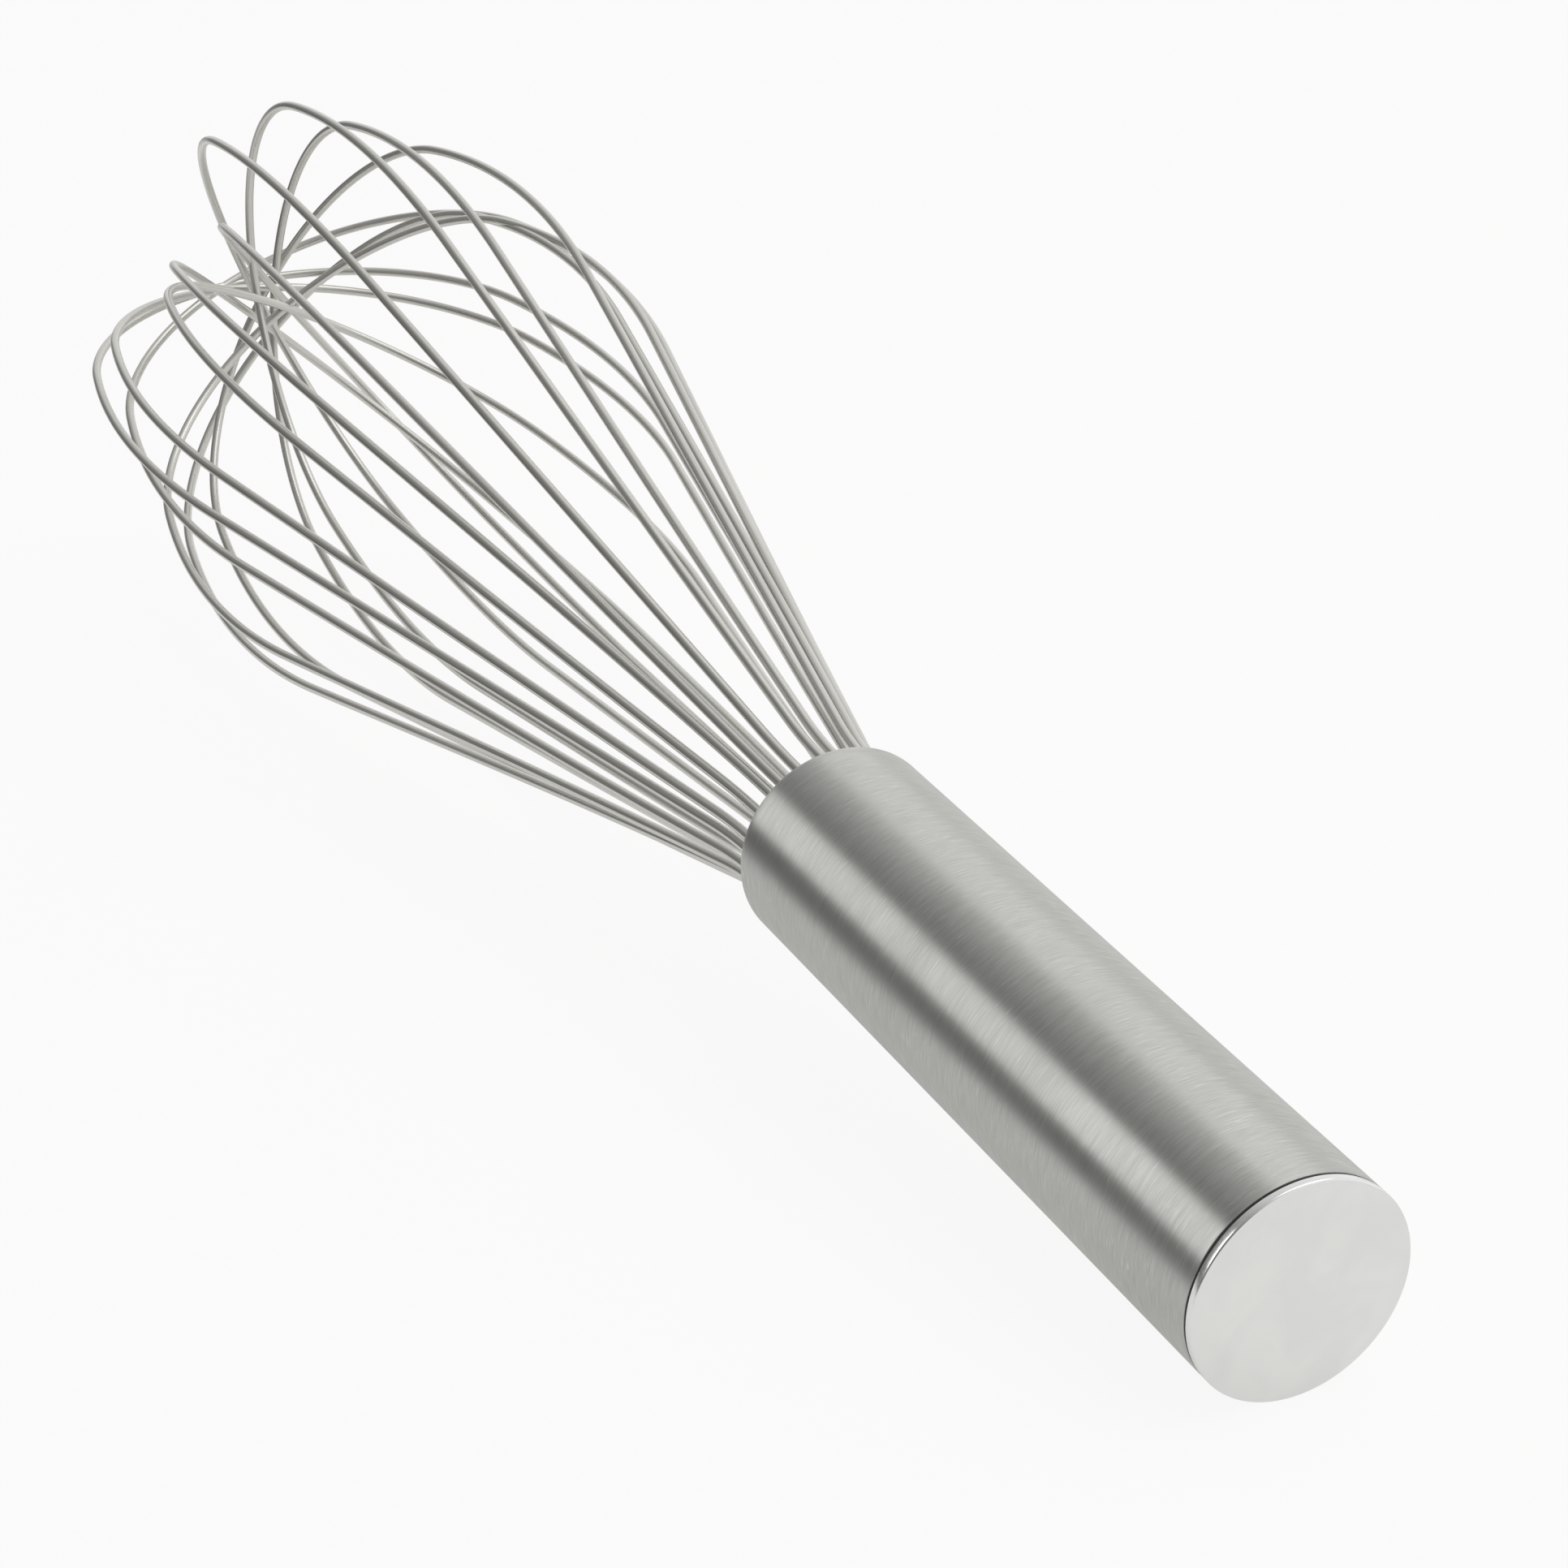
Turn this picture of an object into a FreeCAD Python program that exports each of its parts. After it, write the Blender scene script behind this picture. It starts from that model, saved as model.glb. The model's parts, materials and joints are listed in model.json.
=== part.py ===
"""Balloon whisk, a parametric FreeCAD document in millimetres.

Every piece is drawn about its own Z axis: Z = 0 is the flat outer face of the end cap and
Z grows towards the tip of the balloon.  The Placement of each piece then lays the whisk
down as it rests on a table, on the rim of the end cap and on two wires of the balloon.
In the finished frame +Z is up, the handle points to -X and the balloon to +X.
"""
import math
import os

import FreeCAD
import Part
import Sketcher

# Turn of each loop's plane from straight down, in degrees, from the innermost loop outwards.
# The loops are set by hand, so their spacing is a little uneven.
LOOP_TURNS = (-64, -49, -39, -24, -5, 5, 31, 43, 53, 69, 86, 96)
LOOPS = len(LOOP_TURNS)

DIMENSIONS = {
    # handle tube
    "handle_dia": 30.0,
    "handle_wall": 0.8,
    "handle_length": 120.0,        # outer face of the cap to the front face of the tube
    "shoulder_radius": 2.2,        # outer rounding at the mouth
    "mouth_play": 0.3,             # between the wires and the lip of the mouth
    # end cap
    "cap_flat_radius": 11.3,
    "cap_drop": 0.9,               # how far the bevel falls back from the flat
    "cap_blend_radius": 6.0,       # between the flat and the bevel
    "cap_rim_radius": 0.8,
    "cap_flange": 2.0,
    "cap_face_wall": 1.4,
    "cap_skirt_wall": 1.0,
    "cap_skirt_depth": 6.5,
    "joint_seal": 0.3,
    "joint_seal_width": 0.6,
    # pieces that hold the wires
    "fit": 0.05,                   # clearance between pieces that seat on each other
    "sleeve_wall": 1.75,
    "sleeve_length": 26.0,
    "core_length": 30.0,
    "disc_height": 1.6,
    "boss_height": 1.2,
    "boss_margin": 0.3,            # between the boss and the wires around it
    "boss_rounding": 0.7,
    # wires
    "wire_dia": 1.5,
    "hook_radius": 2.2,
    "hook_length": 2.5,
    "hook_stagger": 1.8,           # every other loop hooks this much further back
    "flare_gap": 0.5,              # front face of the tube to where the wires start to spread
    "flare_radius": 55.0,
    "belly_dia": 87.0,             # over the wires' centre lines
    "belly_height": 275.0,         # the innermost loop; each next one is a tip_pitch longer
    "belly_radius": 145.0,
    "tip_height": 340.0,           # the innermost loop's centre line at the tip
    "tip_pitch": 1.65,
}

# Places that several pieces share, worked out from the cells of the sheet.
HANDLE_RADIUS = "dims.handle_dia / 2"
BORE_RADIUS = f"({HANDLE_RADIUS} - dims.handle_wall)"
SEAT_RADIUS = f"({BORE_RADIUS} - dims.fit)"
SLEEVE_BORE = f"({SEAT_RADIUS} - dims.sleeve_wall)"
LEG_RING = f"({SLEEVE_BORE} - dims.fit - dims.wire_dia / 2)"
CORE_RADIUS = f"({LEG_RING} - dims.wire_dia / 2 - dims.fit)"
MOUTH_RADIUS = f"({LEG_RING} + dims.wire_dia / 2 + dims.mouth_play)"
TUBE_BACK = "(dims.cap_flange + dims.joint_seal + 2 * dims.fit)"
DISC_FRONT = "(dims.handle_length - dims.handle_wall - dims.fit)"
DISC_BACK = f"({DISC_FRONT} - dims.disc_height)"
SLEEVE_FRONT = f"({DISC_BACK} - dims.fit)"
CORE_BACK = f"({SLEEVE_FRONT} - dims.core_length)"
HOOK_HEIGHT = f"({CORE_BACK} - dims.fit - dims.wire_dia / 2)"
HOOK_END = f"({LEG_RING} - dims.hook_radius - dims.hook_length)"
FLARE_HEIGHT = "(dims.handle_length + dims.flare_gap)"

X_AXIS, Y_AXIS, ORIGIN = (-1, 0), (-2, 0), (-1, 1)      # of every sketch



def turn_alias(index):
    """Name of the cell that holds a loop's turn."""
    return f"turn_of_loop_{index + 1:02d}"


DIMENSIONS.update({turn_alias(i): float(turn) for i, turn in enumerate(LOOP_TURNS)})

doc = FreeCAD.newDocument("balloon_whisk")
dims = doc.addObject("Spreadsheet::Sheet", "dims")
for row, (alias, size) in enumerate(DIMENSIONS.items(), start=1):
    dims.set(f"A{row}", alias)
    dims.set(f"B{row}", str(size))
    dims.setAlias(f"B{row}", alias)
doc.recompute()


def value(expression):
    """Number that an expression of the sheet gives now."""
    return float(dims.evalExpression(expression))


def new_body(label):
    """Empty body whose name becomes the name of the piece."""
    body = doc.addObject("PartDesign::Body", label)
    body.Label = label
    return body


def origin_plane(body, role):
    """One of a body's own origin planes, such as XZ_Plane."""
    return next(f for f in body.Origin.OriginFeatures if f.Role == role)


def new_sketch(body, role, name):
    """Sketch attached flat to one of the body's origin planes."""
    sketch = body.newObject("Sketcher::SketchObject", name)
    sketch.AttachmentSupport = [(origin_plane(body, role), "")]
    sketch.MapMode = "FlatFace"
    return sketch


def bind(sketch, kind, *picks, to):
    """Add a dimension to a sketch and tie it to an expression of the sheet."""
    index = sketch.addConstraint(Sketcher.Constraint(kind, *picks, value(to)))
    sketch.setExpression(f"Constraints[{index}]", to)


def pin_point(sketch, point, across, up):
    """Fix a sketch point by two expressions; "0" puts it on that axis."""
    for kind, axis, expression in (("DistanceX", Y_AXIS, across), ("DistanceY", X_AXIS, up)):
        if expression == "0":
            sketch.addConstraint(Sketcher.Constraint("PointOnObject", *point, axis[0]))
        else:
            bind(sketch, kind, *ORIGIN, *point, to=expression)


def turned(label, corners):
    """Body turned about its Z axis from (radius, height) corners given as expressions."""
    body = new_body(label)
    sketch = new_sketch(body, "XZ_Plane", f"{label}_section")
    points = [FreeCAD.Vector(value(r), value(z), 0) for r, z in corners]
    count = len(points)
    for i in range(count):
        sketch.addGeometry(Part.LineSegment(points[i], points[(i + 1) % count]))
    for i in range(count):
        sketch.addConstraint(Sketcher.Constraint("Coincident", i, 2, (i + 1) % count, 1))
    for i, (radius, height) in enumerate(corners):
        pin_point(sketch, (i, 1), radius, height)
    turn = body.newObject("PartDesign::Revolution", f"{label}_turned")
    turn.Profile = sketch
    turn.ReferenceAxis = (sketch, ["V_Axis"])
    turn.Angle = 360.0
    return body


def circle_edges(shape, radius, height):
    """Names of a shape's round edges of one radius at one height on the Z axis."""
    names = []
    for i, edge in enumerate(shape.Edges, start=1):
        curve = edge.Curve
        if isinstance(curve, Part.Circle) and abs(curve.Radius - radius) < 1e-4 \
                and abs(curve.Center.z - height) < 1e-4:
            names.append(f"Edge{i}")
    return names


def dress(body, feature, size, radius, height):
    """Fillet or chamfer the body's round edge at a radius and a height, by expressions."""
    doc.recompute()
    base = body.Tip
    cut = body.newObject(f"PartDesign::{feature}", f"{body.Name}_{feature.lower()}")
    cut.Base = (base, circle_edges(base.Shape, value(radius), value(height)))
    cut.setExpression("Radius" if feature == "Fillet" else "Size", size)
    body.Tip = cut


def drill_leg_holes(body):
    """A through hole for each of the two legs of every loop."""
    sketch = new_sketch(body, "XY_Plane", f"{body.Name}_leg_hole")
    radius = "dims.wire_dia / 2 + dims.fit"
    for index in range(LOOPS):
        across, up = (f"{LEG_RING} * {wave}(dims.{turn_alias(index)})" for wave in ("cos", "sin"))
        centre = FreeCAD.Vector(value(across), value(up), 0)
        hole = sketch.addGeometry(Part.Circle(centre, FreeCAD.Vector(0, 0, 1), value(radius)))
        pin_point(sketch, (hole, 3), across, up)
        bind(sketch, "Radius", hole, to=radius)
    pocket = body.newObject("PartDesign::Pocket", f"{body.Name}_leg_pocket")
    pocket.Profile = sketch
    pocket.Type = "ThroughAll"
    pocket.Midplane = True
    ring = body.newObject("PartDesign::PolarPattern", f"{body.Name}_leg_holes")
    ring.Originals = [pocket]
    ring.Axis = (sketch, ["N_Axis"])
    ring.Angle = 360.0
    ring.Occurrences = 2
    body.Tip = ring


def make_handle_shell():
    """Steel tube with its front rolled in to a round mouth."""
    front = "dims.handle_length"
    lip = "(dims.handle_length - dims.handle_wall)"
    body = turned("handle_shell", [
        (BORE_RADIUS, TUBE_BACK), (HANDLE_RADIUS, TUBE_BACK), (HANDLE_RADIUS, front),
        (MOUTH_RADIUS, front), (MOUTH_RADIUS, lip), (BORE_RADIUS, lip)])
    dress(body, "Fillet", "dims.shoulder_radius", HANDLE_RADIUS, front)
    return body


def make_end_cap():
    """Cap with a flat face, a bevelled rim and a skirt inside the tube."""
    skirt_end = "(dims.cap_flange + dims.cap_skirt_depth)"
    skirt_bore = f"({SEAT_RADIUS} - dims.cap_skirt_wall)"
    body = turned("end_cap", [
        ("0", "0"), ("dims.cap_flat_radius", "0"), (HANDLE_RADIUS, "dims.cap_drop"),
        (HANDLE_RADIUS, "dims.cap_flange"), (SEAT_RADIUS, "dims.cap_flange"),
        (SEAT_RADIUS, skirt_end), (skirt_bore, skirt_end),
        (skirt_bore, "dims.cap_face_wall"), ("0", "dims.cap_face_wall")])
    dress(body, "Fillet", "dims.cap_blend_radius", "dims.cap_flat_radius", "0")
    dress(body, "Fillet", "dims.cap_rim_radius", HANDLE_RADIUS, "dims.cap_drop")
    return body


def make_cap_seal():
    """Thin bead of sealant that closes the joint between the cap and the tube."""
    back = "(dims.cap_flange + dims.fit)"
    front = f"({back} + dims.joint_seal)"
    inner = f"({HANDLE_RADIUS} - dims.fit - dims.joint_seal_width)"
    outer = f"({HANDLE_RADIUS} - dims.fit)"
    return turned("cap_seal", [(inner, back), (outer, back), (outer, front), (inner, front)])


def make_bundle_sleeve():
    """Steel bush that presses between the wires' legs and the bore of the tube."""
    back = f"({SLEEVE_FRONT} - dims.sleeve_length)"
    return turned("bundle_sleeve", [
        (SLEEVE_BORE, back), (SEAT_RADIUS, back),
        (SEAT_RADIUS, SLEEVE_FRONT), (SLEEVE_BORE, SLEEVE_FRONT)])


def make_wire_core():
    """Plug inside the ring of legs; the wires hook inwards behind its chamfered back."""
    body = turned("wire_core", [
        ("0", CORE_BACK), (CORE_RADIUS, CORE_BACK), (CORE_RADIUS, SLEEVE_FRONT),
        ("0", SLEEVE_FRONT)])
    room = "dims.hook_radius - dims.wire_dia / 2 + 2 * dims.fit"
    dress(body, "Chamfer", room, CORE_RADIUS, CORE_BACK)
    return body


def make_mouth_seal():
    """Disc that closes the mouth behind its lip, with a low boss inside the ring of legs."""
    boss_radius = f"({CORE_RADIUS} - dims.boss_margin)"
    boss_front = f"({DISC_FRONT} + dims.boss_height)"
    body = turned("mouth_seal", [
        ("0", DISC_BACK), (SEAT_RADIUS, DISC_BACK), (SEAT_RADIUS, DISC_FRONT),
        (boss_radius, DISC_FRONT), (boss_radius, boss_front), ("0", boss_front)])
    dress(body, "Fillet", "dims.boss_rounding", boss_radius, boss_front)
    drill_leg_holes(body)
    return body


def half_path(sketch, back, belly, tip):
    """Centre line of half a loop: hook, leg, flare, run, belly and dome, all tangent."""
    leg, hook = value(LEG_RING), value("dims.hook_radius")
    hook_height, flare_height = value(back), value(FLARE_HEIGHT)
    flare, bow = value("dims.flare_radius"), value("dims.belly_radius")
    belly_x, belly_z, tip_z = value("dims.belly_dia / 2") - bow, value(belly), value(tip)
    # Radius of a dome about the axis that touches the belly arc from inside.
    rise = tip_z - belly_z
    dome = (bow ** 2 - belly_x ** 2 - rise ** 2) / (2 * (bow - rise))
    join = math.atan2(tip_z - dome - belly_z, -belly_x)
    # Slope of the line that touches the flare on one side and the belly on the other.
    across, up = belly_x - leg - flare, belly_z - flare_height
    slope = math.atan2(across, up) + math.asin((flare + bow) / math.hypot(across, up))

    def point(x, z):
        return FreeCAD.Vector(x, z, 0)

    def arc(x, z, radius, start, end):
        circle = Part.Circle(point(x, z), FreeCAD.Vector(0, 0, 1), radius)
        return Part.ArcOfCircle(circle, start, end)

    sketch.addGeometry([
        Part.LineSegment(point(value(HOOK_END), hook_height), point(leg - hook, hook_height)),
        arc(leg - hook, hook_height + hook, hook, -math.pi / 2, 0),
        Part.LineSegment(point(leg, hook_height + hook), point(leg, flare_height)),
        arc(leg + flare, flare_height, flare, math.pi - slope, math.pi),
        Part.LineSegment(
            point(leg + flare * (1 - math.cos(slope)), flare_height + flare * math.sin(slope)),
            point(belly_x + bow * math.cos(slope), belly_z - bow * math.sin(slope))),
        arc(belly_x, belly_z, bow, -slope, join),
        arc(0, tip_z - dome, dome, join, math.pi / 2),
    ])
    hook_line, hook_arc, leg_line, flare_arc, run, belly_arc, dome_arc = range(7)
    for first, end, second, start in (
            (hook_line, 2, hook_arc, 1), (hook_arc, 2, leg_line, 1), (leg_line, 2, flare_arc, 2),
            (flare_arc, 1, run, 1), (run, 2, belly_arc, 1), (belly_arc, 2, dome_arc, 1)):
        sketch.addConstraint(Sketcher.Constraint("Tangent", first, end, second, start))
    sketch.addConstraint(Sketcher.Constraint("Horizontal", hook_line))
    sketch.addConstraint(Sketcher.Constraint("Vertical", leg_line))
    bind(sketch, "DistanceX", hook_line, 1, hook_line, 2, to="dims.hook_length")
    bind(sketch, "DistanceY", *ORIGIN, hook_line, 1, to=back)
    bind(sketch, "Radius", hook_arc, to="dims.hook_radius")
    bind(sketch, "DistanceX", *ORIGIN, leg_line, 1, to=LEG_RING)
    bind(sketch, "DistanceY", *ORIGIN, leg_line, 2, to=FLARE_HEIGHT)
    bind(sketch, "Radius", flare_arc, to="dims.flare_radius")
    bind(sketch, "DistanceX", belly_arc, 3, *ORIGIN, to="dims.belly_radius - dims.belly_dia / 2")
    bind(sketch, "DistanceY", *ORIGIN, belly_arc, 3, to=belly)
    bind(sketch, "Radius", belly_arc, to="dims.belly_radius")
    sketch.addConstraint(Sketcher.Constraint("PointOnObject", dome_arc, 3, Y_AXIS[0]))
    sketch.addConstraint(Sketcher.Constraint("PointOnObject", dome_arc, 2, Y_AXIS[0]))
    bind(sketch, "DistanceY", *ORIGIN, dome_arc, 2, to=tip)


def make_wire_loop(index):
    """Round wire bent in one plane: a half is swept from the hooked end, then mirrored."""
    label = f"wire_loop_{index + 1:02d}"
    body = new_body(label)
    path = new_sketch(body, "XZ_Plane", f"{label}_path")
    back = f"{HOOK_HEIGHT} - {index % 2} * dims.hook_stagger"
    half_path(path, back, f"dims.belly_height + {index} * dims.tip_pitch",
              f"dims.tip_height + {index} * dims.tip_pitch")

    section = new_sketch(body, "YZ_Plane", f"{label}_section")
    section.setExpression("AttachmentOffset.Base.z", HOOK_END)
    centre = FreeCAD.Vector(0, value(back), 0)
    wire_radius = "dims.wire_dia / 2"
    ring = section.addGeometry(
        Part.Circle(centre, FreeCAD.Vector(0, 0, 1), value(wire_radius)))
    section.addConstraint(Sketcher.Constraint("PointOnObject", ring, 3, Y_AXIS[0]))
    bind(section, "DistanceY", *ORIGIN, ring, 3, to=back)
    bind(section, "Radius", ring, to=wire_radius)

    sweep = body.newObject("PartDesign::AdditivePipe", f"{label}_sweep")
    sweep.Profile = section
    sweep.Spine = (path, [])
    mirror = body.newObject("PartDesign::Mirrored", f"{label}_mirror")
    mirror.Originals = [sweep]
    mirror.MirrorPlane = (origin_plane(body, "YZ_Plane"), [""])
    body.Tip = mirror
    return body


def rest_height(tilt, height, centre, radius, squeeze=1.0):
    """Lowest point, below the axis at the butt, of an arc of a piece laid at a tilt.

    The arc has its centre at a height along the axis and at a distance from it, in a plane
    whose angle from straight down has the cosine given by squeeze.
    """
    sin, cos = math.sin(tilt), math.cos(tilt)
    return height * sin - centre * squeeze * cos - radius * math.hypot(sin, squeeze * cos)


def laid_down():
    """Placement that lays the whisk on its end cap's rim and its lowest wire."""
    radius, rim = value(HANDLE_RADIUS), value("dims.cap_rim_radius")
    slope = math.atan2(value("dims.cap_drop"), radius - value("dims.cap_flat_radius"))
    rim_height = value("dims.cap_drop") + rim * (1 - math.sin(slope)) / math.cos(slope)
    bow, wire = value("dims.belly_radius"), value("dims.wire_dia / 2")
    belly_centre = value("dims.belly_dia / 2") - bow
    bellies = [(value(f"dims.belly_height + {index} * dims.tip_pitch"),
                abs(math.cos(math.radians(turn)))) for index, turn in enumerate(LOOP_TURNS)]

    low, high = 0.0, math.pi / 4
    for _ in range(60):
        tilt = (low + high) / 2
        cap = rest_height(tilt, rim_height, radius - rim, rim)
        wires = min(rest_height(tilt, height, belly_centre, bow, squeeze)
                    for height, squeeze in bellies) - wire
        low, high = (tilt, high) if wires < cap else (low, tilt)

    back = -value("dims.cap_flat_radius") * math.sin(tilt)
    longest = value(f"dims.tip_height + {LOOPS - 1} * dims.tip_pitch")
    front = longest * math.cos(tilt) + wire
    base = FreeCAD.Vector(-(back + front) / 2, 0, -cap)
    return FreeCAD.Placement(
        base, FreeCAD.Rotation(FreeCAD.Vector(0, 1, 0), 90 - math.degrees(tilt)))


def spun(degrees):
    """Turn of a piece about its own Z axis."""
    return FreeCAD.Placement(
        FreeCAD.Vector(), FreeCAD.Rotation(FreeCAD.Vector(0, 0, 1), degrees))


def check_document():
    """Stop if any object of the document failed to build."""
    for item in doc.Objects:
        if "Invalid" in item.State or "Error" in item.State:
            raise RuntimeError(f"{item.Label} did not build: {item.State}")
        if hasattr(item, "Shape") and item.TypeId.startswith("PartDesign::"):
            if item.Shape.isNull() or not item.Shape.isValid():
                raise RuntimeError(f"{item.Label} has no valid shape")


lay = laid_down()
pieces = [
    (make_handle_shell(), lay),
    (make_end_cap(), lay),
    (make_cap_seal(), lay),
    (make_bundle_sleeve(), lay),
    (make_wire_core(), lay),
    (make_mouth_seal(), lay),
]
pieces += [(make_wire_loop(i), lay * spun(turn)) for i, turn in enumerate(LOOP_TURNS)]
for body, placement in pieces:
    body.Placement = placement
doc.recompute()
check_document()

os.makedirs("parts", exist_ok=True)
for body, _ in pieces:
    body.Shape.exportStep(f"parts/{body.Label}.step")
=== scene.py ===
"""Balloon whisk of stainless steel, lying on a pale table.

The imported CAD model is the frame.  The visible steel is modelled again here as smooth
closed meshes: the brushed handle tube, the polished end cap, the bead of sealant between
them and the drawn wires.  The pieces inside the handle stay as the CAD made them.

Every piece is modelled about its own Z axis, with Z = 0 on the flat face of the end cap,
and is then laid down where the record's end face says the handle ends.
"""

import json
import logging
import math
from dataclasses import dataclass, field
from enum import Enum
from typing import Iterable, Sequence

import bmesh
import bpy
from mathutils import Matrix, Vector


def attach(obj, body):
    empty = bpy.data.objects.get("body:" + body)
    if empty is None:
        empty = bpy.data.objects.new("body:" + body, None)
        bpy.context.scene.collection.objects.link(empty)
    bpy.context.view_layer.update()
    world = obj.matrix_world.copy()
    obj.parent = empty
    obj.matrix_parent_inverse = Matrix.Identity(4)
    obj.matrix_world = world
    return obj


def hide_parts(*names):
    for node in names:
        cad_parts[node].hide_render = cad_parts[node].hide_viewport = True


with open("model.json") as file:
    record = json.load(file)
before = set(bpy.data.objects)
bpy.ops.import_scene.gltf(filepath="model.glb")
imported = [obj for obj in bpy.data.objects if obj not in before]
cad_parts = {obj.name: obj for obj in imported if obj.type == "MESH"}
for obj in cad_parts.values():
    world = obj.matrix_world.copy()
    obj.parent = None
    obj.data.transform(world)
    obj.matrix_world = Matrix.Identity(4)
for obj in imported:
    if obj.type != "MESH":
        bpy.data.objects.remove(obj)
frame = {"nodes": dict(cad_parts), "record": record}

log = logging.getLogger("whisk")

MM = 0.001
DOUBLE = 0.001 * MM              # vertices closer than this are one


# --------------------------------------------------------------------------- colours, nodes


def srgb(hex_code: str) -> tuple[float, float, float, float]:
    """Turn an sRGB hex colour into the linear colour that shaders expect.

    Args:
        hex_code: Colour such as "#c8c8c4".

    Returns:
        Linear red, green, blue and an alpha of one.
    """
    channels = [int(hex_code[i:i + 2], 16) / 255 for i in (1, 3, 5)]
    linear = [c / 12.92 if c <= 0.04045 else ((c + 0.055) / 1.055) ** 2.4 for c in channels]
    return (*linear, 1.0)


def add_node(tree: bpy.types.NodeTree, kind: str, settings: dict | None = None,
             links: dict | None = None) -> bpy.types.Node:
    """Add a node with its settings and its incoming links.

    Args:
        tree: Node tree that gets the node.
        kind: Node type without the "ShaderNode" prefix.
        settings: Node properties by name, and socket values by index or socket name.
        links: Output sockets by the index or name of the input that they feed.

    Returns:
        The new node.
    """
    node = tree.nodes.new(f"ShaderNode{kind}")
    for key, setting in (settings or {}).items():
        if isinstance(key, str) and hasattr(node, key):
            setattr(node, key, setting)
        else:
            node.inputs[key].default_value = setting
    for key, output in (links or {}).items():
        tree.links.new(output, node.inputs[key])
    return node


def set_ramp(node: bpy.types.Node, stops: Sequence[tuple[float, float]]) -> None:
    """Give a colour ramp grey stops.

    Args:
        node: Colour ramp node.
        stops: Position and linear grey of each stop, from low to high.
    """
    ramp = node.color_ramp
    while len(ramp.elements) > 1:
        ramp.elements.remove(ramp.elements[-1])
    for index, (position, grey) in enumerate(stops):
        stop = ramp.elements[0] if index == 0 else ramp.elements.new(position)
        stop.position = position
        stop.color = (grey, grey, grey, 1.0)


# --------------------------------------------------------------------------- finishes


@dataclass(frozen=True)
class BrushedTube:
    """Stainless tube brushed by a belt while it turned in a lathe.

    Short fine scratches run round the tube, so the light spreads along it and stays in
    sharp bands across it.  The scratches are drawn three times as wide as real ones,
    which would be too fine to show.  Their glints are painted into the colour: the
    scratches move it between a darker and a lighter tone, partly the brushing's own tone
    and partly painted glints, and sparse nicks are painted lighter still as painted glints.
    """

    name: str = "stainless_tube_brushed_around"
    colour: str = "#d4d4d1"
    shade: str = "#c0c0bc"
    # colour of the painted glints on the nicks
    glint: str = "#e6e6e3"
    roughness: float = 0.42
    anisotropy: float = 0.95
    scratch_mm: tuple[float, float] = (3.6, 0.12)      # length round the tube, width
    nick_mm: tuple[float, float] = (2.4, 0.16)         # sparse deeper scratches, painted lighter as glints
    cloud_mm: float = 22.0                             # patches where the belt pressed harder
    depth_mm: float = 0.0018
    bump: float = 0.5

    def build(self) -> bpy.types.Material:
        """Build the material from the piece's place about the lathe's axis, in mm."""
        material, tree, shader = new_material(self.name)
        coords = add_node(tree, "Attribute", {"attribute_name": "lathe"})
        scratches = self.streaks(tree, coords, self.scratch_mm, 2.5)
        nicks = self.streaks(tree, coords, self.nick_mm, 1.0)
        clouds = add_node(tree, "TexNoise", {"Scale": 1 / self.cloud_mm, "Detail": 3.0},
                          {"Vector": coords.outputs["Vector"]})
        # scratch tone: partly the brushing's own tone, partly painted glints where scratches catch
        # the light
        tone = add_node(tree, "MapRange", {"From Min": 0.33, "From Max": 0.67},
                        {"Value": scratches.outputs["Fac"]})
        brushed = add_node(tree, "Mix", {"data_type": "RGBA", 6: srgb(self.shade),
                                         7: srgb(self.colour)}, {0: tone.outputs[0]})
        # painted glint: the sparse nicks turn the colour lighter, as if they caught the light
        nick_glint_mask = add_node(tree, "MapRange", {"From Min": 0.68, "From Max": 0.78},
                        {"Value": nicks.outputs["Fac"]})
        colour = add_node(tree, "Mix", {"data_type": "RGBA", 7: srgb(self.glint)},
                          {0: nick_glint_mask.outputs[0], 6: brushed.outputs[2]})
        rough = add_node(tree, "MapRange",
                         {"From Min": 0.35, "From Max": 0.65, "To Min": self.roughness - 0.03,
                          "To Max": self.roughness + 0.04}, {"Value": clouds.outputs["Fac"]})
        bump = add_node(tree, "Bump", {"Strength": self.bump, "Distance": self.depth_mm * MM},
                        {"Height": scratches.outputs["Fac"]})
        tangent = add_node(tree, "Tangent", {"direction_type": "UV_MAP", "uv_map": "along_tube"})
        shader.inputs["Metallic"].default_value = 1.0
        shader.inputs["Anisotropic"].default_value = self.anisotropy
        tree.links.new(colour.outputs[2], shader.inputs["Base Color"])
        tree.links.new(rough.outputs[0], shader.inputs["Roughness"])
        tree.links.new(bump.outputs[0], shader.inputs["Normal"])
        tree.links.new(tangent.outputs[0], shader.inputs["Tangent"])
        return material

    @staticmethod
    def streaks(tree: bpy.types.NodeTree, coords: bpy.types.Node, size_mm: tuple[float, float],
                detail: float) -> bpy.types.Node:
        """Add noise drawn out round the tube.

        Args:
            tree: Node tree that gets the noise.
            coords: Node whose vector is the place about the lathe's axis, in mm.
            size_mm: Length and width of a streak.
            detail: Octaves of the noise.

        Returns:
            The noise node.
        """
        length, width = size_mm
        place = add_node(tree, "Mapping", {"Scale": (1 / length, 1 / length, 1 / width)},
                         {"Vector": coords.outputs["Vector"]})
        return add_node(tree, "TexNoise", {"Scale": 1.0, "Detail": detail},
                        {"Vector": place.outputs[0]})


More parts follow.
